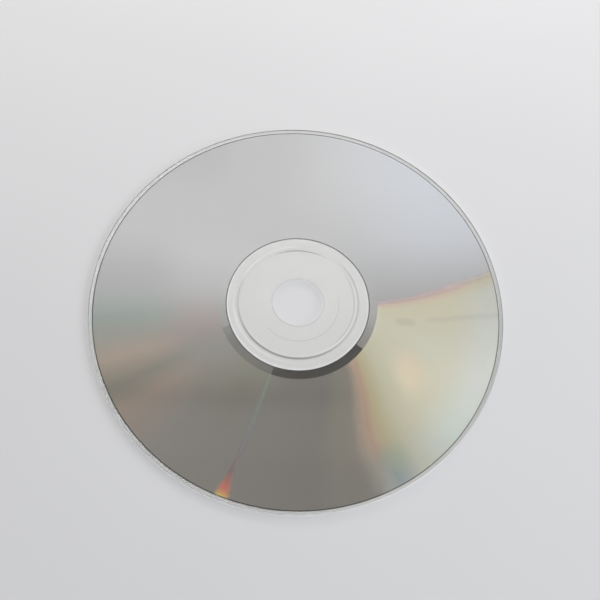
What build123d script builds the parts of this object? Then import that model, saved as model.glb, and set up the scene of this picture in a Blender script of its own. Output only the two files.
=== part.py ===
"""Compact disc of 120 mm, lying with its read side up.

The disc is one clear moulding with a metal film on its label side. Millimetres, +Z up along
the spindle axis, towards the read side. The origin is on that axis, in the plane of the
label side, which is the face that the disc rests on.
"""

from build123d import *

import os

# Overall sizes.
disc_diameter = 120.0
disc_thickness = 1.2  # without the stacking ring
hole_diameter = 15.0
rim_round = 0.15  # radius along both outer edges
hole_chamfer = 0.2  # along both edges of the hole

# Bands of the hub, each a width measured outwards from the one before, starting at the hole.
gate_land = 4.5  # from the hole to the shallow step that the mould's gate sleeve leaves
clamping_land = 4.4  # flat band that a player clamps, up to the stacking ring
ring_inner_flank = 0.8
ring_crest = 0.3
ring_outer_flank = 0.9
clear_land = 2.3  # flat clear band from the stacking ring to the metal film

# Heights of those features.
gate_step = 0.04  # the hub's middle stands back from the label side by this
ring_height = 0.2  # the stacking ring stands above the read side

# Metal film on the label side. The real film is far thinner.
clear_rim = 1.0  # clear plastic outside the film
film_thickness = 0.02

# Radii that follow from the sizes above.
disc_radius = disc_diameter / 2
hole_radius = hole_diameter / 2
gate_radius = hole_radius + gate_land
ring_foot_inner = gate_radius + clamping_land
ring_crest_inner = ring_foot_inner + ring_inner_flank
ring_crest_outer = ring_crest_inner + ring_crest
ring_foot_outer = ring_crest_outer + ring_outer_flank
film_inner = ring_foot_outer + clear_land
film_outer = disc_radius - clear_rim

# Heights that follow, from the resting face up.
label_face = 0.0
read_face = label_face + disc_thickness


def flat_ring(inner, outer, low, high):
    """A flat ring between two radii and two heights."""
    upright = (Align.CENTER, Align.CENTER, Align.MIN)
    height = high - low
    return Pos(Z=low) * (Cylinder(outer, height, align=upright) - Cylinder(inner, height, align=upright))


def round_edges(solid):
    """The solid's round edges, from the smallest radius to the largest."""
    return solid.edges().filter_by(GeomType.CIRCLE).sort_by(SortBy.RADIUS)


def blank():
    """The moulding without its ring: an eased hole, a stepped middle and a rounded rim."""
    plate = flat_ring(hole_radius, disc_radius, label_face, read_face)
    plate -= flat_ring(hole_radius, gate_radius, label_face, label_face + gate_step)
    plate = chamfer(round_edges(plate)[:2], hole_chamfer)
    return fillet(round_edges(plate)[-2:], rim_round)


def stacking_ring():
    """Low raised ring on the read side that keeps stacked discs apart, with two gentle flanks."""
    root = read_face - ring_height
    crest = read_face + ring_height
    outline = Polyline(
        (ring_foot_inner, root),
        (ring_foot_outer, root),
        (ring_foot_outer, read_face),
        (ring_crest_outer, crest),
        (ring_crest_inner, crest),
        (ring_foot_inner, read_face),
        close=True,
    )
    return revolve(Plane.XZ * make_face(outline), axis=Axis.Z)


def metal_film():
    """The mirror coating that carries the data, on the moulding's label side."""
    return flat_ring(film_inner, film_outer, label_face, label_face + film_thickness)


def clear_disc():
    """The clear polycarbonate moulding, one piece, with its seat for the metal film."""
    return blank() + stacking_ring() - metal_film()


pieces = {"clear_disc": clear_disc(), "metal_film": metal_film()}

os.makedirs("parts", exist_ok=True)
for name, piece in pieces.items():
    export_step(piece, f"parts/{name}.step")
    print(name, round(piece.volume, 2), piece.bounding_box())
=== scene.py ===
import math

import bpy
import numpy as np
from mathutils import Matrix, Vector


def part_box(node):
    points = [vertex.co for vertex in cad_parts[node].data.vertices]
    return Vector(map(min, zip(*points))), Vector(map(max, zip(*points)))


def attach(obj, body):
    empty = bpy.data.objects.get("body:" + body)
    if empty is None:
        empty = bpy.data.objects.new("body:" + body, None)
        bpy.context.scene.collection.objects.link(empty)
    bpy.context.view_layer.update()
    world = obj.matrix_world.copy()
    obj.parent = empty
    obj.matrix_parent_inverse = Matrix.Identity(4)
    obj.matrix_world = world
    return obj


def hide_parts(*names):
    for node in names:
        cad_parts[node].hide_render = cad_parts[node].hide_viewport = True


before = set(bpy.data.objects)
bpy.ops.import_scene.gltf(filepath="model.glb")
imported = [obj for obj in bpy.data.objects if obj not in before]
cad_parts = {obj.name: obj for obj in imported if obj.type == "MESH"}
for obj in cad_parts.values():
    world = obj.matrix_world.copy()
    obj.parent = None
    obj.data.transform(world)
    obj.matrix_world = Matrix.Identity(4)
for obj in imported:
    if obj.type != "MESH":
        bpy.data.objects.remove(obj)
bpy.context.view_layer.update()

# %% [markdown]
# # A compact disc on a pale table
# A compact disc is two things made as one: a clear plastic moulding, and a metal film so
# thin that it only shows as a mirror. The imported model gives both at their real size. What
# is left for this file is how they look: clear plastic that bends light, a mirror seen
# through it, and the colours that a surface of very fine grooves splits light into.

MM = 0.001
disc_low, disc_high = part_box("clear_disc")
film_low, film_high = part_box("metal_film")
print("disc, mm:", [round(v / MM, 3) for v in disc_high - disc_low])

# %% [markdown]
# ## The disc's sizes
# A turned shape is told by its radii and heights. The outside comes from the imported model,
# so the new pieces can't outgrow it. The bands of the hub repeat the widths of the real
# moulding, each measured outwards from the one before.

# %% Radii and heights, in metres
disc_radius = min(disc_high.x, disc_high.y)
read_face = 1.2 * MM  # the side that the laser reads, which lies upwards
ring_height = disc_high.z - read_face
hole_radius = 7.5 * MM
hole_chamfer = 0.2 * MM
gate_radius = hole_radius + 4.5 * MM  # the shallow step in the label side
gate_step = 0.04 * MM
gate_slope = 0.1 * MM
ring_foot_inner = gate_radius + 4.4 * MM  # the stacking ring
ring_crest_inner = ring_foot_inner + 0.8 * MM
ring_crest_outer = ring_crest_inner + 0.3 * MM
ring_foot_outer = ring_crest_outer + 0.9 * MM
film_inner = ring_foot_outer + 2.3 * MM
film_outer = min(film_high.x, film_high.y)
seat_depth = film_high.z
rim_round = 0.15 * MM
mirror_band = 2.5 * MM  # the film's smooth inner band, before its fine grooves begin
grooves_from = film_inner + mirror_band

# %% [markdown]
# ## Turned pieces
# Both pieces are turned shapes: an outline in a half plane, carried once round the axis.
# Blender's Screw modifier could do it, but numpy gives something more here. Each corner of
# the outline becomes a true arc, and every point of an arc knows which way the surface
# faces. Those directions go into the mesh as its normals, so flat faces shade dead flat
# right up to the arcs, which clear plastic needs: it shows any error in the normals.

# %% Rounding the corners of an outline
ARC_POINTS = 6


def rounded(corners, radii):
    """Points and outward normals of a closed outline whose corners are arcs.

    The two legs of a corner have unit vectors u and v, and turn by the angle a. The arc of
    radius r has its centre on the corner's bisector, r / cos(a / 2) from the corner, and
    touches each leg r * tan(a / 2) from it. From the centre, the directions to those two
    points are blended along the circle: sin((1 - t) a) / sin(a) of the first and
    sin(t a) / sin(a) of the second. That direction is also the normal, turned inwards
    where the corner is hollow.
    """
    corners = np.array(corners, float)
    radii = np.array(radii, float)[:, None]
    to_last = np.roll(corners, 1, axis=0) - corners
    to_next = np.roll(corners, -1, axis=0) - corners
    u = to_last / np.linalg.norm(to_last, axis=1, keepdims=True)
    v = to_next / np.linalg.norm(to_next, axis=1, keepdims=True)
    turn = math.pi - np.arccos(np.clip((u * v).sum(axis=1, keepdims=True), -1, 1))
    bisector = (u + v) / np.linalg.norm(u + v, axis=1, keepdims=True)
    centre = corners + bisector * radii / np.cos(turn / 2)
    start = (corners + u * radii * np.tan(turn / 2) - centre) / radii
    end = (corners + v * radii * np.tan(turn / 2) - centre) / radii
    t = np.linspace(0, 1, ARC_POINTS)[None, :, None]
    turn, start, end, centre = (x[:, None, :] for x in (turn, start, end, centre))
    direction = (np.sin((1 - t) * turn) * start + np.sin(t * turn) * end) / np.sin(turn)
    points = centre + radii[:, None, :] * direction
    # The outline runs clockwise, so a corner that turns right is a full one.
    hollow = (-u[:, 0] * v[:, 1] + u[:, 1] * v[:, 0]) > 0
    normals = np.where(hollow[:, None, None], -direction, direction)
    return points.reshape(-1, 2), normals.reshape(-1, 2)


# %% Carrying an outline round the axis
STEPS_ROUND = 640


def turned(name, corners, radii, slots):
    """A closed mesh: point (r, z) of the outline at angle p lies at (r cos p, r sin p, z).

    slots gives the material's number for each corner's arc and the leg after it.
    """
    points, normals = rounded(corners, radii)
    angle = np.linspace(0, 2 * math.pi, STEPS_ROUND, endpoint=False)
    cos, sin = np.cos(angle)[None, :], np.sin(angle)[None, :]

    def carried(flat):
        level = np.broadcast_to(flat[:, 1:], (len(flat), STEPS_ROUND))
        return np.stack([flat[:, :1] * cos, flat[:, :1] * sin, level], axis=-1).reshape(-1, 3)

    here = np.arange(len(points))[:, None] * STEPS_ROUND
    after = np.roll(here, -1, axis=0)
    step = np.arange(STEPS_ROUND)[None, :]
    beside = np.roll(step, -1, axis=1)
    faces = np.stack([here + step, after + step, after + beside, here + beside], axis=-1)
    mesh = bpy.data.meshes.new(name)
    mesh.from_pydata(carried(points), [], faces.reshape(-1, 4).tolist())
    mesh.polygons.foreach_set("use_smooth", np.ones(len(mesh.polygons), bool))
    per_face = np.repeat(np.repeat(slots, ARC_POINTS), STEPS_ROUND).astype(np.int32)
    mesh.polygons.foreach_set("material_index", per_face)
    mesh.normals_split_custom_set_from_vertices(carried(normals))
    mesh.update()
    piece = bpy.data.objects.new(name, mesh)
    bpy.context.scene.collection.objects.link(piece)
    print(name, "faces:", len(mesh.polygons), "points of the outline:", len(points))
    return piece


# %% [markdown]
# ## The clear moulding
# Polycarbonate is injected through the middle of the mould, which leaves a shallow step on
# the label side where the gate's sleeve stood. The stacking ring stands 0.2 mm proud of the
# read side, with gentle flanks and soft corners. The film's seat is cut into the label side.
#
# One list tells the outline: radius, height, how round the corner is, and whether its arc
# and the leg after it are polished, a dull wall or the dull hub. The walls and the gate's
# step come dull out of the mould. The fine lines on the disc are painted shade and painted
# light in the colours of these faces and of the clear plastic.

# %% The moulding
fine, eased = 0.004 * MM, 0.05 * MM
broad = 1.0 * MM  # the stacking ring's soft corners
POLISHED, DULL_RIM, DULL_HUB = 0, 1, 2
clear_outline = [
    (hole_radius, read_face - hole_chamfer, eased, DULL_HUB),
    (hole_radius + hole_chamfer, read_face, eased, POLISHED),
    (ring_foot_inner, read_face, broad, POLISHED),
    (ring_crest_inner, read_face + ring_height, broad, POLISHED),
    (ring_crest_outer, read_face + ring_height, broad, POLISHED),
    (ring_foot_outer, read_face, broad, POLISHED),
    (disc_radius, read_face, rim_round, DULL_RIM),
    (disc_radius, 0, rim_round, POLISHED),
    (film_outer, 0, fine, POLISHED),
    (film_outer, seat_depth, fine, POLISHED),
    (film_inner, seat_depth, fine, POLISHED),
    (film_inner, 0, fine, POLISHED),
    (gate_radius, 0, fine, DULL_HUB),
    (gate_radius - gate_slope, gate_step, fine, POLISHED),
    (hole_radius + hole_chamfer, gate_step, eased, DULL_HUB),
    (hole_radius, gate_step + hole_chamfer, eased, DULL_HUB),
]
clear_disc = turned(
    "clear_disc_moulding",
    corners=[row[:2] for row in clear_outline],
    radii=[row[2] for row in clear_outline],
    slots=[row[3] for row in clear_outline],
)

# %% [markdown]
# ## The metal film
# The real film is a ten-thousandth of a millimetre thick. Here it fills its seat, less a few
# thousandths of a millimetre, so that no two faces lie in one plane: a renderer can't tell
# such faces apart.

# %% The film
clearance = 0.004 * MM  # keeps two faces out of one plane
film_corner = 0.001 * MM
film_top = seat_depth - clearance
READ_SIDE, LABEL_SIDE = 0, 1
film_outline = [
    (film_inner + clearance, film_top, READ_SIDE),
    (film_outer - clearance, film_top, LABEL_SIDE),
    (film_outer - clearance, 0, LABEL_SIDE),
    (film_inner + clearance, 0, LABEL_SIDE),
]
metal_film = turned(
    "metal_film_mirror",
    corners=[row[:2] for row in film_outline],
    radii=[film_corner] * len(film_outline),
    slots=[row[2] for row in film_outline],
)

# %% [markdown]
# ## Shader sums written as sums
# A pattern on a disc is a formula in the distance from the axis and the angle round it.
# Wiring such a formula by hand takes dozens of nodes. This small class holds one output of
# a node, and its operators add the Math node that does the sum, so a formula reads as it
# would on paper.


# %% One output of a node
class Output:
    """A node's output, which can stand in a formula."""

    def __init__(self, tree, socket):
        self.tree = tree
        self.socket = socket

    def __add__(self, other):
        return self.tree.math("ADD", self, other)

    def __radd__(self, other):
        return self.tree.math("ADD", other, self)

    def __sub__(self, other):
        return self.tree.math("SUBTRACT", self, other)

    def __rsub__(self, other):
        return self.tree.math("SUBTRACT", other, self)

    def __mul__(self, other):
        return self.tree.math("MULTIPLY", self, other)

    def __rmul__(self, other):
        return self.tree.math("MULTIPLY", other, self)

    def __truediv__(self, other):
        return self.tree.math("DIVIDE", self, other)

    def __pow__(self, other):
        return self.tree.math("POWER", self, other)

    def __mod__(self, other):
        return self.tree.math("FLOORED_MODULO", self, other)

    def __abs__(self):
        return self.tree.math("ABSOLUTE", self)


# %% [markdown]
# ## A tree of nodes
# Every other node comes from one method. It takes the node's type, then its settings, which
# have to be in place first because they decide which sockets there are, and then the values
# or links of its sockets.


# %% All the nodes of one material
FULL_TURN, HALF_TURN = 360.0, 180.0


class Tree:
    """The nodes of a material, or of the world."""

    def __init__(self, owner):
        owner.use_nodes = True
        self.nodes = owner.node_tree.nodes
        self.links = owner.node_tree.links
        self.nodes.clear()

    def node(self, kind, settings, sockets, output=0):
        made = self.nodes.new(kind)
        for name, value in settings.items():
            if name == "stops":
                self.fill_ramp(made.color_ramp, value)
            else:
                setattr(made, name, value)
        for name, value in sockets.items():
            if isinstance(value, Output):
                self.links.new(value.socket, made.inputs[name])
            else:
                made.inputs[name].default_value = value
        return Output(self, made.outputs[output])

    def fill_ramp(self, ramp, stops):
        while len(ramp.elements) < len(stops):
            ramp.elements.new(1.0)
        for element, (place, colour) in zip(ramp.elements, stops):
            element.position = place
            element.color = (*colour, 1.0)

    def math(self, operation, *numbers):
        return self.node("ShaderNodeMath", {"operation": operation}, dict(enumerate(numbers)))

    def step(self, value, low, high):
        """0 below low, 1 above high, and a smooth S between."""
        settings = {"interpolation_type": "SMOOTHSTEP"}
        sockets = {"Value": value, "From Min": low, "From Max": high}
        return self.node("ShaderNodeMapRange", settings, sockets)

    def ramp(self, value, stops):
        """The colour at value, between stops that give a value and a colour each."""
        low, high = stops[0][0], stops[-1][0]
        placed = [((place - low) / (high - low), colour) for place, colour in stops]
        share = (value - low) / (high - low)
        return self.node("ShaderNodeValToRGB", {"stops": placed}, {0: share})

    def mixed(self, share, first, second):
        """A colour between two others, by share of the second."""
        settings = {"data_type": "RGBA"}
        return self.node("ShaderNodeMix", settings, {0: share, 6: first, 7: second}, 2)

    def grey(self, value):
        """A colour with the same value in red, green and blue."""
        return self.node("ShaderNodeCombineColor", {}, {0: value, 1: value, 2: value})

    def tinted(self, first, second):
        """One colour times another."""
        settings = {"data_type": "RGBA", "blend_type": "MULTIPLY"}
        return self.node("ShaderNodeMix", settings, {0: 1.0, 6: first, 7: second}, 2)

    def parts(self, vector):
        """The three numbers of a vector."""
        first = self.node("ShaderNodeSeparateXYZ", {}, {0: vector})
        return [Output(self, socket) for socket in first.socket.node.outputs]

    def place(self):
        """Where a point lies on its piece, in metres."""
        return self.node("ShaderNodeTexCoord", {}, {}, "Object")

    def polar(self):
        """Distance from the axis in mm, and the angle round it from 0 to 360 degrees."""
        x, y, _ = self.parts(self.place())
        flat = self.node("ShaderNodeCombineXYZ", {}, {0: x, 1: y})
        distance = self.node("ShaderNodeVectorMath", {"operation": "LENGTH"}, {0: flat}, "Value")
        turned_by = self.math("DEGREES", self.math("ARCTAN2", y, x)) % FULL_TURN
        return distance / MM, turned_by

    def height(self):
        """How high a point lies, in mm."""
        return self.parts(self.place())[2] / MM

    def noise(self, scale, detail=2.0):
        """Soft clouds from 0 to 1, with scale of them to a metre."""
        sockets = {"Vector": self.place(), "Scale": scale, "Detail": detail}
        return self.node("ShaderNodeTexNoise", {}, sockets)

    def bump(self, height, depth, strength):
        """A normal that leans as if the surface rose by height times depth."""
        sockets = {"Height": height, "Distance": depth, "Strength": strength}
        return self.node("ShaderNodeBump", {}, sockets)

    def shader(self, sockets):
        return self.node("ShaderNodeBsdfPrincipled", {}, sockets)

    def blend(self, share, first, second):
        """A surface between two others, by share of the second."""
        return self.node("ShaderNodeMixShader", {}, {0: share, 1: first, 2: second})

    def clear_to_lamps(self, surface, lets_through):
        """The surface as it is, but plainly see-through to rays that look for a lamp."""
        plain = self.node("ShaderNodeBsdfTransparent", {}, {"Color": (*lets_through, 1)})
        looks_for_lamp = self.node("ShaderNodeLightPath", {}, {}, "Is Shadow Ray")
        return self.blend(looks_for_lamp, surface, plain)

    def end(self, surface, kind="ShaderNodeOutputMaterial"):
        self.links.new(surface.socket, self.nodes.new(kind).inputs["Surface"])


def material(name):
    """A new material and the tree of its nodes."""
    made = bpy.data.materials.new(name)
    return made, Tree(made)


# %% [markdown]
# ## Clear polycarbonate
# The plastic bends light by 1.58 and takes almost none of it. A renderer follows light from
# a lamp through clear plastic only by luck, so rays that look for a lamp meet a plain
# see-through surface in place of the bending one. A moulded face is never quite flat: it
# repeats the polish of the mould, here a bump far too fine to see except where light glances
# off it. Over the clear rim outside the film, the colour carries painted shade, some all
# round and most on the near side.
#
# The ring works as a weak lens. It throws the light that falls on it aside, and leaves a
# shade along its crest on the side away from the windows, a fainter one at its inner foot,
# and a few thin pale lines where the light gathers. Rays can't be followed that far in good
# time, so the plastic's colour carries them all, as painted shade and painted light. The
# hub's top face is darkened a little all over as well: painted shade on the table seen
# through it.

# %% Places on a disc
SOLID_CORE = 0.2  # the share of a line's half width that has its full strength


def near(tree, angle, middle, full, none):
    """1 up to so many degrees from an angle, and 0 from so many on."""
    return 1 - tree.step(abs((angle - middle + HALF_TURN) % FULL_TURN - HALF_TURN), full, none)


def line(tree, radius, middle, half_width):
    """1 along a circle, and 0 from half_width beside it on."""
    return 1 - tree.step(abs(radius - middle) / half_width, SOLID_CORE, 1.0)


def drawn(tree, radius, angle, rows):
    """The sum of some lines, each with its strength, its place as in near, its circle as in line."""
    total = 0.0
    for strength, place, circle in rows:
        total = total + strength * near(tree, angle, *place) * line(tree, radius, *circle)
    return total


# %% Painted shade on the clear rim
clear_plastic, tree = material("clear_polycarbonate")
radius, angle = tree.polar()
FILM_BEGINS, FILM_ENDS = (20.0, 20.5), (58.95, 59.05)
over_rim = tree.step(radius, *FILM_ENDS)
hub = 1 - tree.step(radius, *FILM_BEGINS)
near_left, near_right = near(tree, angle, 235.0, 30.0, 70.0), near(tree, angle, 335.0, 30.0, 60.0)
ALL_ROUND, AT_NEAR_LEFT, AT_NEAR_RIGHT = 0.11, 0.18, 0.09
painted_rim_shade = (ALL_ROUND + AT_NEAR_LEFT * near_left + AT_NEAR_RIGHT * near_right) * over_rim

# %% The ring's painted dark and pale lines
# Each row has a line's strength, its place and its circle. Above zero the line is painted shade; below
# zero, the line is paler: painted light.
crest_circle, foot_circle, GATHERED = (17.5, 0.5), (16.35, 0.3), -0.16
ring_lines = [
    (0.2484, (285.0, 105.0, 140.0), crest_circle),
    (0.3312, (258.0, 20.0, 75.0), crest_circle),
    (0.552, (95.0, 5.0, 40.0), foot_circle),
    (0.2392, (355.0, 30.0, 50.0), foot_circle),
    (GATHERED, (135.0, 20.0, 50.0), (17.6, 0.5)),
    (GATHERED, (340.0, 35.0, 60.0), (16.85, 0.25)),
    (GATHERED, (222.0, 20.0, 50.0), (18.7, 0.4)),
]
on_top = tree.step(tree.height(), 1.1, 1.19)
# HUB_SHADE is painted shade over the whole hub's top face.
CLEAREST, HUB_SHADE = 0.985, 0.195
top_shade = HUB_SHADE * hub + drawn(tree, radius, angle, ring_lines)
clearness_and_painted_shade = CLEAREST - painted_rim_shade - on_top * top_shade
print("lines on the ring:", len(ring_lines))

# %% The moulding's polished faces
BARE_TINT, NO_TINT = (1.0, 1.0, 0.972, 1), (1.0, 1.0, 1.0, 1)
plastic_tint = tree.mixed((1 - hub) * (1 - over_rim), BARE_TINT, NO_TINT)
POLISH_WAVES, POLISH_DEPTH, POLISH_STRENGTH = 60.0, 0.02 * MM, 0.02
PLASTIC_BENDS = 1.58
THROUGH_PLASTIC = (0.74, 0.74, 0.74)  # what a lamp's light keeps on its way
plastic = tree.shader(
    {
        "Base Color": tree.tinted(plastic_tint, tree.grey(clearness_and_painted_shade)),
        "Roughness": 0.0,
        "IOR": PLASTIC_BENDS,
        "Transmission Weight": 1.0,
        "Normal": tree.bump(tree.noise(POLISH_WAVES), POLISH_DEPTH, POLISH_STRENGTH),
    }
)
tree.end(tree.clear_to_lamps(plastic, THROUGH_PLASTIC))
clear_disc.data.materials.append(clear_plastic)

# %% [markdown]
# ## The outer wall
# The mould's halves meet at the outer wall, so it isn't polished. It scatters light and looks
# like pale frosted plastic. Its colour carries painted shade by height and angle: a dark foot
# for the contact shadow on the table, a darker rounded top, and a darker far side, which is
# only seen through the plastic.

# %% The dull rim
def dull_grain(tree):
    """A normal with the fine grain of an unpolished wall."""
    grains_to_a_metre, depth, strength = 4000.0, 0.02 * MM, 0.2
    return tree.bump(tree.noise(grains_to_a_metre), depth, strength)


rim_plastic, tree = material("frosted_rim")
angle, height = tree.polar()[1], tree.height()
foot, top = 1 - tree.step(height, 0.15, 0.7), tree.step(height, 1.0, 1.12)
far_side = near(tree, angle, 75.0, 85.0, 130.0)
# The foot, the rounded top and the far side get painted shade: a contact shadow at the foot.
WALL_TONE, PAINTED_FOOT_SHADOW_TONE, PAINTED_TOP_SHADE_TONE, FAR_SIDE_PAINTED_SHADE = 0.95, 0.1, 0.78, 0.42
rim_tone_and_painted_shade = WALL_TONE + (PAINTED_FOOT_SHADOW_TONE - WALL_TONE) * foot + (PAINTED_TOP_SHADE_TONE - WALL_TONE) * top
rim_tone_and_painted_shade = rim_tone_and_painted_shade * (1 - FAR_SIDE_PAINTED_SHADE * far_side)
THROUGH_WALL = (0.85, 0.85, 0.85)
frosted = tree.shader({"Base Color": tree.grey(rim_tone_and_painted_shade), "Roughness": 0.35, "Normal": dull_grain(tree)})
tree.end(tree.clear_to_lamps(frosted, THROUGH_WALL))
clear_disc.data.materials.append(rim_plastic)

# %% [markdown]
# ## The hub's dull faces
# The hole is punched while the plastic is still warm. Its wall and the gate's step are only
# a little dull, so this finish lets most of the light through: that is what Alpha says. Their
# dark greys paint thin shade lines at the hole's edge and along the gate's step. The gate's
# line fades out on the far side, where its shade falls under itself.

# %% The dull hub
hub_plastic, tree = material("frosted_hub")
radius, angle = tree.polar()
# HOLE_TONE and GATE_TONE are dark greys that paint thin shade lines at the hole's edge and along the
# gate's step.
HOLE_TONE, GATE_TONE = 0.15, 0.35
HOLE_COVER, GATE_COVER = 0.17, 0.45
past_hole = tree.step(radius, 9.0, 10.0)
gate_painted_shade_cover = GATE_COVER * near(tree, angle, 300.0, 55.0, 95.0)
dulled = tree.shader(
    {
        "Base Color": tree.grey(HOLE_TONE + (GATE_TONE - HOLE_TONE) * past_hole),
        "Roughness": 0.45,
        "Alpha": HOLE_COVER + (gate_painted_shade_cover - HOLE_COVER) * past_hole,
        "Normal": dull_grain(tree),
    }
)
tree.end(dulled)
clear_disc.data.materials.append(hub_plastic)

# %% [markdown]
# ## The mirror that the laser reads
# The film does two things with light. Some of it comes back as from a plain mirror. The rest
# is spread by the grooves, which run round the axis, into a fan that lies along the radius:
# a long lamp gives a bright sector, split into colours at its edges. A stretched highlight
# does the first part: the anisotropic lobe of a metal, turned a quarter so that it runs
# outwards. Its base colour brings the spectrum, painted as a formula of radius and angle.

# %% Where things lie on the film
SHARP, GROOVES_SOFT = 0.15, 0.08  # half widths of edges, in degrees and in mm
first_groove = grooves_from / MM
read_mirror, tree = material("reflective_metal")
radius, angle = tree.polar()


def past(edge):
    """Degrees by which a point lies past an edge, from -180 to 180."""
    return (angle - edge + HALF_TURN) % FULL_TURN - HALF_TURN


def between(first, last):
    """1 from one angle to another, going round from first to last."""
    return tree.step(past(first), -SHARP, SHARP) * (1 - tree.step(past(last), -SHARP, SHARP))


grooved = tree.step(radius, first_groove - GROOVES_SOFT, first_groove + GROOVES_SOFT)

# %% [markdown]
# ### The bright sector
# The sector is a painted reflection of the wide window: its outline and its colours are
# painted, and the window's fan lights it. Its upper edge leans a little forwards with the
# radius. Its lower edge is straight outside and curls round the hub further in. Blue light
# leaves the grooves at a smaller angle than red, so the edges pass through the colours: warm
# ones near the hub, pale cool ones near the rim, where the grooves are seen from another angle.

# %% The sector's two edges
UPPER_START, UPPER_LEAN = 4.4, 0.326
upper_edge = UPPER_START + (radius - first_groove) * UPPER_LEAN
LOWER_STRAIGHT, CURL_TURNS, CURL_ENDS, CURL_POWER = 303.5, 16.0, 45.4, 1.4
inwards = (CURL_ENDS - radius) / (CURL_ENDS - first_groove)
lower_edge = LOWER_STRAIGHT + CURL_TURNS * tree.math("MAXIMUM", inwards, 0.0) ** CURL_POWER
past_upper, past_lower = past(upper_edge), past(lower_edge)

# %% How the sector sets in and ends
outer_share = tree.step(radius, 44.0, 57.0)
FRINGE = 0.08  # a faint fringe lies before the lower edge
fringe, full = tree.step(past_lower, -24.0, -14.0), tree.step(past_lower, -9.0, 3.0)
UPPER_END, UPPER_END_SHIFT = 4.6, 1.9
upper_fade = tree.step(past_upper, -0.5, UPPER_END - UPPER_END_SHIFT * outer_share)
# The sector's mask: where the painted reflection of the window lies.
sector = (FRINGE * fringe + (1 - FRINGE) * full) * (1 - upper_fade)


def patch(middle_radius, radius_soft, middle_past, past_soft):
    """1 in a soft patch beside the lower edge, with where it is full and where it ends."""
    outwards = 1 - tree.step(abs(radius - middle_radius), *radius_soft)
    onwards = 1 - tree.step(abs(past_lower - middle_past), *past_soft)
    return outwards * onwards


# %% The colours along the lower edge
CREAM, PALE_GOLD, WARM_GOLD = (0.955, 0.925, 0.75), (0.845, 0.82, 0.625), (1.0, 0.88, 0.67)
ICE, MINT = (0.99, 1.0, 0.93), (0.825, 0.90, 0.825)
moss, haze, apricot = (0.80, 0.76, 0.42), (0.95, 0.77, 0.545), (0.69, 0.49, 0.355)
olive, straw = (0.675, 0.62, 0.395), (0.76, 0.73, 0.545)
hub_side = [
    (-14.0, moss),
    (-8.0, haze),
    (-1.0, apricot),
    (4.0, olive),
    (11.0, straw),
    (21.0, PALE_GOLD),
    (40.0, CREAM),
]
mist, slate, sage = (0.755, 0.725, 0.57), (0.445, 0.52, 0.515), (0.725, 0.73, 0.615)
rim_side = [(-8.0, mist), (1.0, slate), (8.0, sage), (21.0, MINT), (40.0, ICE)]
from_hub, from_rim = tree.ramp(past_lower, hub_side), tree.ramp(past_lower, rim_side)
warm_spot = patch(37.5, (1.0, 7.5), 26.0, (2.0, 11.0))
from_hub = tree.mixed(warm_spot, from_hub, (*WARM_GOLD, 1))
lower_colours = tree.mixed(outer_share, from_hub, from_rim)
FERN, FERN_SHARE = (0.50, 0.61, 0.42, 1), 0.45
fern_spot = patch(52.0, (1.0, 5.0), 3.0, (1.0, 6.0))
lower_colours = tree.mixed(FERN_SHARE * fern_spot, lower_colours, FERN)

# %% The colours along the upper edge
lime, peach, rose = (0.975, 0.925, 0.69), (0.99, 0.795, 0.645), (1.0, 0.69, 0.68)
hub_side = [(-26.0, CREAM), (-3.0, lime), (0.2, peach), (2.4, rose)]
pale_lime, sand, blush = (0.94, 0.945, 0.845), (0.915, 0.85, 0.655), (0.905, 0.705, 0.56)
rim_side = [(-26.0, ICE), (-4.5, pale_lime), (-0.5, sand), (2.0, blush)]
from_hub, from_rim = tree.ramp(past_upper, hub_side), tree.ramp(past_upper, rim_side)
upper_colours = tree.mixed(outer_share, from_hub, from_rim)
near_upper = tree.step(past_upper, -26.0, -8.0)
sector_colour = tree.mixed(near_upper, lower_colours, upper_colours)

# %% [markdown]
# ### Painted dim reflections
# Two soft dim patches lie in the sector: a short one near the hub and a long thin one that
# runs out to the rim. They are painted reflection of something dark in the room, and take a
# few hundredths off the light.

# %% Two faint painted dim reflections
x, y, _ = tree.parts(tree.place())
x, y = x / MM, y / MM
(short_x, short_y), (long_x, long_y), long_slope = (31.5, -2.2), (38.0, -0.8), 0.2
short_across, short_along = abs(y - short_y) / 1.3, abs(x - short_x) / 3.0
short_dim_reflection = (1 - tree.step(short_across, 0.3, 1.4)) * (1 - tree.step(short_along, 0.4, 1.4))
long_across = abs(y - long_y - (x - long_x) * long_slope)
long_dim_reflection = (1 - tree.step(long_across, 0.2, 1.5)) * tree.step(x, 35.0, 42.0)
SECTOR_LEVEL, SHORT_TAKES, LONG_TAKES = 0.938, 0.09, 0.055
# Painted reflection: two dim patches in the sector.
painted_dim_reflections = SECTOR_LEVEL - SHORT_TAKES * short_dim_reflection - LONG_TAKES * long_dim_reflection

# %% [markdown]
# ### The narrow streak
# The streak is a painted reflection of one small far lamp: its place and its colours are
# painted, and the lamps light it through the fan. It is faint and green near the hub, nearly
# grey half way out, and turns red, orange and yellow at the rim, where it widens.

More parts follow.
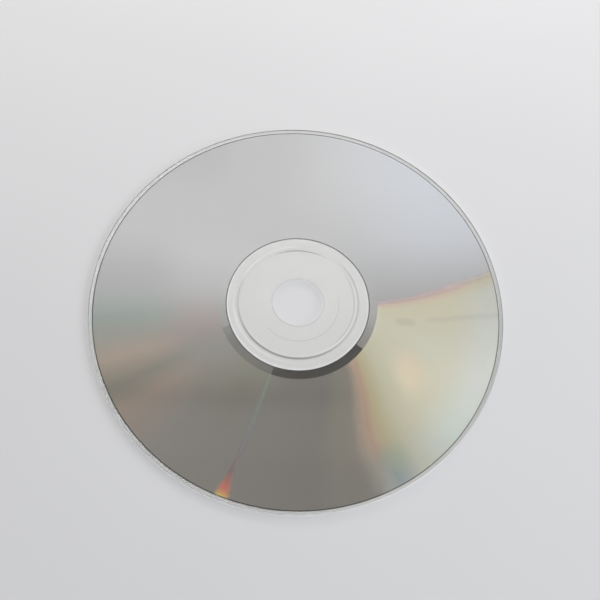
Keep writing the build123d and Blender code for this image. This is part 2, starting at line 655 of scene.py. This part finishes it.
# %% The painted streak of one small lamp
STREAK_AT, STREAK_SHIFT = 256.9, 0.7
streak_centre = STREAK_AT - STREAK_SHIFT * tree.step(radius, 44.0, 52.0)
HALF_WIDTH, NARROWS_BY, WIDENS_BY = 1.7, 1.0, 1.3
narrower, wider = tree.step(radius, 38.0, 51.0), tree.step(radius, 50.0, 59.0)
streak_half = HALF_WIDTH - NARROWS_BY * narrower + WIDENS_BY * wider
from_streak = abs(past(streak_centre))
streak = 1 - tree.step(from_streak / streak_half, 0.3, 1.3)
leaf, ash, rust = (0.40, 0.52, 0.37), (0.40, 0.39, 0.43), (0.44, 0.31, 0.31)
flame, amber, lemon = (1.0, 0.38, 0.28), (1.0, 0.64, 0.26), (0.98, 0.95, 0.32)
stops = [(26.0, leaf), (44.0, ash), (51.5, rust), (56.8, flame), (58.3, amber), (59.0, lemon)]
COLOURS_LEAN = 0.2  # mm for each degree across the streak
streak_colour = tree.ramp(radius - COLOURS_LEAN * past(STREAK_AT - STREAK_SHIFT), stops)

# %% How much of the light the fan takes
lit_colour = tree.tinted(sector_colour, tree.grey(painted_dim_reflections))
beside_streak = 1 - tree.step(from_streak, 10.0, 12.0)
fan_colour = tree.mixed(beside_streak, lit_colour, streak_colour)
SECTOR_SHARE, INNER_STREAK, OUTER_GAIN = 0.97, 0.6, 0.35
streak_share = INNER_STREAK + OUTER_GAIN * tree.step(radius, 49.0, 56.0)
fan_share = grooved * (SECTOR_SHARE * sector + streak_share * streak)

# %% [markdown]
# ## The film's plain reflection
# On the left the grooves only tint what the film mirrors: a green-blue band, an orange band
# and a brown patch, each a few degrees wide, painted as tints of the reflection. The smooth
# band inside the grooves shows four shades that change at sharp angles: painted reflection.
# Both edges of the film are darker in a thin line.

# %% Painted tints of the reflection at the left
PLAIN = (0.75, 0.75, 0.75)
teal, khaki, orange = (0.66, 0.75, 0.72), (0.77, 0.78, 0.73), (0.94, 0.81, 0.73)
drab, brown = (0.66, 0.66, 0.61), (0.90, 0.78, 0.72)
outer_stops = [
    (180.0, PLAIN),
    (192.5, teal),
    (199.0, khaki),
    (205.5, orange),
    (213.5, drab),
    (220.5, brown),
    (234.0, PLAIN),
]
mauve, lichen = (0.81, 0.73, 0.72), (0.69, 0.71, 0.64)
inner_stops = [(180.0, PLAIN), (200.0, mauve), (214.0, PLAIN), (246.0, lichen), (262.0, PLAIN)]
inner_tints, outer_tints = tree.ramp(angle, inner_stops), tree.ramp(angle, outer_stops)
left_tints = tree.mixed(tree.step(radius, 28.0, 46.0), inner_tints, outer_tints)
mirror_colour = tree.mixed(grooved, (*PLAIN, 1), left_tints)

# %% Four painted reflection shades of the smooth band
first_step, second_step, third_step = 207.0, 257.3, 328.9  # the angles where the shade changes
PALEST, MIDDLE_TAKES, MIDDLE_GROWS, DARK_TAKES, LIGHT_GIVES = 1.02, 0.2, 0.12, 0.67, 0.19
middle_takes = MIDDLE_TAKES + MIDDLE_GROWS * tree.step(angle, first_step, 224.0)
middle_shade = middle_takes * between(first_step, second_step)
dark_shade = DARK_TAKES * between(second_step, third_step)
light_fades = 1 - tree.step(past(0.0), -8.0, 12.0)
light_shade = LIGHT_GIVES * tree.step(past(third_step), -SHARP, SHARP) * light_fades

# %% The fine ticks of a machine mark
TICK_PITCH, ROW_PITCH, TICK_GIVES = 0.8, 0.33, 0.1  # degrees, mm, and how much paler
along_tick, across_tick = angle % TICK_PITCH / TICK_PITCH, radius % ROW_PITCH / ROW_PITCH
tick = tree.step(along_tick, 0.4, 0.6) * tree.step(across_tick, 0.3, 0.5)
ticks = TICK_GIVES * tick * between(293.0, 325.5) * tree.step(radius, 21.2, 21.3)
band_shade = PALEST - middle_shade - dark_shade + light_shade + ticks
shade = grooved + (1 - grooved) * band_shade

# %% The film's darker edges
EDGE_WIDTH, EDGE_TAKES = 0.35, 0.82
inner_edge = abs(radius - film_inner / MM)
outer_edge = abs(radius - film_outer / MM)
nearest_edge = tree.math("MINIMUM", inner_edge, outer_edge)
edge_dimming = 1 - EDGE_TAKES * (1 - tree.step(nearest_edge, EDGE_WIDTH / 2, EDGE_WIDTH))
mirror_colour = tree.tinted(mirror_colour, tree.grey(shade * edge_dimming))

# %% The two parts of the mirror together
POLISH, HANDLED = 0.04, 0.02
handling = tree.noise(90.0, 3.0)
mirror = tree.shader(
    {
        "Base Color": mirror_colour,
        "Roughness": POLISH + HANDLED * handling,
        "Metallic": 1.0,
    }
)
fan = tree.shader(
    {
        "Base Color": fan_colour,
        "Roughness": 0.5,
        "Metallic": 1.0,
        "Anisotropic": 1.0,
        "Anisotropic Rotation": 0.25,
    }
)
tree.end(tree.blend(fan_share * edge_dimming, mirror, fan))
metal_film.data.materials.append(read_mirror)
print("nodes of the mirror:", len(tree.nodes))

# %% [markdown]
# ## The label side
# The film's back is sealed with a thin clear lacquer, spun on from the middle and hardened.
# Nothing is printed on it here. Spinning leaves faint rings, so the metal's gloss changes a
# little with the radius, under a hard glossy coat.

# %% Lacquered metal
label_metal, tree = material("lacquered_metal")
one_way, sockets = {"noise_dimensions": "1D"}, {"W": tree.polar()[0], "Scale": 1.5, "Detail": 4.0}
rings = tree.node("ShaderNodeTexNoise", one_way, sockets)
DARK_RING, PALE_RING = (0.66, 0.67, 0.69, 1), (0.76, 0.77, 0.78, 1)
SMOOTHEST, RINGS_ROUGHEN = 0.22, 0.14
lacquered = tree.shader(
    {
        "Base Color": tree.mixed(rings, DARK_RING, PALE_RING),
        "Roughness": SMOOTHEST + RINGS_ROUGHEN * rings,
        "Metallic": 1.0,
        "Coat Weight": 1.0,
        "Coat Roughness": 0.03,
    }
)
tree.end(lacquered)
metal_film.data.materials.append(label_metal)

# %% Both pieces stand for their nodes and ride on the body
for piece, node, finish in (
    (clear_disc, "clear_disc", "clear_polycarbonate"),
    (metal_film, "metal_film", "reflective_metal"),
):
    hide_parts(node)
    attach(piece, "root")

# %% [markdown]
# ## The table
# A wide flat sheet, painted nearly white with the faint unevenness of a real table top. It
# lies a hair below the disc, so that the two never share a plane.

# %% The floor
half_floor, floor_level = 3.0, -0.05 * MM
corners = [(-1, -1), (1, -1), (1, 1), (-1, 1)]
floor_points = [(x * half_floor, y * half_floor, floor_level) for x, y in corners]
floor_mesh = bpy.data.meshes.new("floor")
floor_mesh.from_pydata(floor_points, [], [(0, 1, 2, 3)])
floor = bpy.data.objects.new("floor", floor_mesh)
bpy.context.scene.collection.objects.link(floor)
table_paint, tree = material("table_top")
DARK_PAINT, PALE_PAINT = (0.72, 0.72, 0.72, 1), (0.76, 0.76, 0.76, 1)
painted = tree.shader(
    {
        "Base Color": tree.mixed(tree.noise(9.0), DARK_PAINT, PALE_PAINT),
        "Roughness": 0.6,
        "Specular IOR Level": 0.2,
    }
)
tree.end(painted)
floor_mesh.materials.append(table_paint)

# %% [markdown]
# ## The room
# A mirror shows its room, so the room decides most of what the disc looks like. Beyond the
# disc it is pale. Overhead it is dim and a little warm, with a soft edge that runs across the
# view. Near the horizon its light on the table is moderate, but a lens, a glossy face or clear
# plastic sees a pale backdrop there: the Light Path node tells their rays from the others.

# %% Which way a ray looks
world = bpy.data.worlds.new("studio")
bpy.context.scene.world = world
tree = Tree(world)
east, north, up = tree.parts(tree.node("ShaderNodeTexCoord", {}, {}, "Generated"))
west = 0 - east
EDGES_LEAN = 0.115
along = north - EDGES_LEAN * east  # grows away from the viewer, a little askew as the room is
near_horizon = 1 - tree.step(up, 0.5, 0.75)

# %% The ceiling, from the dim part overhead to the pale part beyond the disc
DIMMEST, TO_THE_LEFT = 0.12, 0.2
ceiling = DIMMEST + TO_THE_LEFT * west * (1 - tree.step(along, 0.34, 0.42))
FIRST_RISE, FIRST_RISE_BENDS = 0.11, 0.045
bent = along - FIRST_RISE_BENDS * tree.step(east, -0.04, 0.02)
ceiling = ceiling + FIRST_RISE * tree.step(bent, 0.256, 0.337)
rises = [(0.15, -0.2, 0.1), (0.20, 0.335, 0.405), (0.17, 0.39, 0.48)]  # by how much, from, to
for gain, start, end in rises:
    ceiling = ceiling + gain * tree.step(along, start, end)
stripes = [(0.011, 0.225, 0.02, 0.045), (-0.014, 0.27, 0.004, 0.018)]  # how much, where, how wide
for gain, middle, full, none in stripes:
    ceiling = ceiling + gain * (1 - tree.step(abs(along - middle), full, none))

# %% Softer differences between the room's left and right
RIGHT_END, LEFT_END, SHOULDER, SHEEN = 0.065, 0.05, 0.07, 0.08
right_end = tree.step(east, -0.06, 0.03) * tree.step(along, 0.46, 0.54)
left_end = tree.step(west, 0.08, 0.14) * tree.step(along, 0.5, 0.56)
shoulder = tree.step(west, 0.04, 0.09) * (1 - tree.step(west, 0.14, 0.2))
shoulder = shoulder * tree.step(along, 0.375, 0.41) * (1 - tree.step(along, 0.44, 0.48))
sheen = tree.step(east + 0.5 * north, 0.25, 0.42) * tree.step(along, 0.38, 0.47)
ceiling = ceiling + RIGHT_END * right_end - LEFT_END * left_end + SHOULDER * shoulder + SHEEN * sheen

# %% The walls, and the backdrop that shows in their place
NEAR_WALL, FAR_WALL_GAIN, BACKDROP = 0.18, 0.2, 0.78
walls = NEAR_WALL + FAR_WALL_GAIN * tree.step(along, -0.2, 0.6)
shows = 0.0
for ray in ("Is Camera Ray", "Is Glossy Ray", "Is Transmission Ray"):
    shows = tree.math("MAXIMUM", shows, tree.node("ShaderNodeLightPath", {}, {}, ray))
glow = ceiling * (1 - near_horizon) + walls * near_horizon
glow = glow + (BACKDROP - walls) * shows * near_horizon
WARM, COOL, WHITE = (1.0, 0.953, 0.865, 1), (0.97, 1.0, 1.06, 1), (1.0, 1.0, 1.0, 1)
tone = tree.mixed(tree.step(along, 0.28, 0.42), WARM, tree.mixed(sheen, WHITE, COOL))
sockets = {"Color": tree.mixed(near_horizon, tone, WHITE), "Strength": glow}
tree.end(tree.node("ShaderNodeBackground", {}, sockets), "ShaderNodeOutputWorld")
print("nodes of the room:", len(tree.nodes))

# %% [markdown]
# ## Two windows
# A wide low window on the right makes the bright sector. A smaller one beyond the disc makes
# the table's light fall off towards the viewer. Both are soft area lamps that face the disc.


# %% Soft lamps
def softbox(name, azimuth, elevation, distance, size, power, colour):
    """A lamp that looks at the origin from a direction given by two angles in degrees."""
    lamp = bpy.data.lights.new(name, "AREA")
    lamp.shape = "RECTANGLE"
    lamp.size, lamp.size_y = size
    lamp.energy = power
    lamp.color = colour
    a, e = math.radians(azimuth), math.radians(elevation)
    at = Vector((math.cos(a) * math.cos(e), math.sin(a) * math.cos(e), math.sin(e))) * distance
    holder = bpy.data.objects.new(name, lamp)
    holder.location = at
    holder.rotation_mode = "QUATERNION"
    holder.rotation_quaternion = (-at).to_track_quat("-Z", "Y")
    bpy.context.scene.collection.objects.link(holder)
    print(name, "at", [round(v, 2) for v in at], "watts:", power)


softbox(
    "window",
    azimuth=-4,
    elevation=27,
    distance=1.6,
    size=(3.8, 0.7),
    power=39,
    colour=(0.94, 0.994, 1.06),
)
softbox(
    "second_window",
    azimuth=97,
    elevation=26,
    distance=0.6,
    size=(0.8, 0.15),
    power=2.5,
    colour=(1.03, 0.96, 0.95),
)

# %% [markdown]
# ## The camera
# The photograph's camera was found from the disc's own circles: how far each is flattened and
# shifted tells the height, the distance and the lens. It looks down at 67 degrees, and is
# turned a little about its own axis.

# %% Lens, place and turn
PICTURE = 600
focal_pixels = 742.8
camera_elevation, camera_roll = math.radians(66.98), math.radians(-6.72)
camera_distance = 215.5 * MM
disc_at = (298.17, 301.38)  # where the disc's centre lies in the picture
lens = bpy.data.cameras.new("camera")
lens.sensor_width = 36.0
lens.lens = focal_pixels * lens.sensor_width / PICTURE
lens.clip_start, lens.clip_end = 0.005, 20.0
camera = bpy.data.objects.new("camera", lens)
bpy.context.scene.collection.objects.link(camera)
back = Vector((0, -math.cos(camera_elevation), math.sin(camera_elevation)))
right = Vector((1, 0, 0))
level = Matrix((right, right.cross(-back), -back))
off_axis = ((disc_at[0] - PICTURE / 2) / focal_pixels, (PICTURE / 2 - disc_at[1]) / focal_pixels, 1)
aim = Vector((0, 0, 1)).rotation_difference(Vector(off_axis)).to_matrix()
axes = aim @ Matrix.Rotation(camera_roll, 3, "Z") @ level
seen = Matrix((axes[0], axes[1], -axes[2])).transposed().to_4x4()
seen.translation = Vector((0, 0, read_face)) + back * camera_distance
camera.matrix_world = seen
bpy.context.scene.camera = camera
bpy.context.scene.view_settings.view_transform = "Standard"
print("lens, mm:", round(lens.lens, 2))
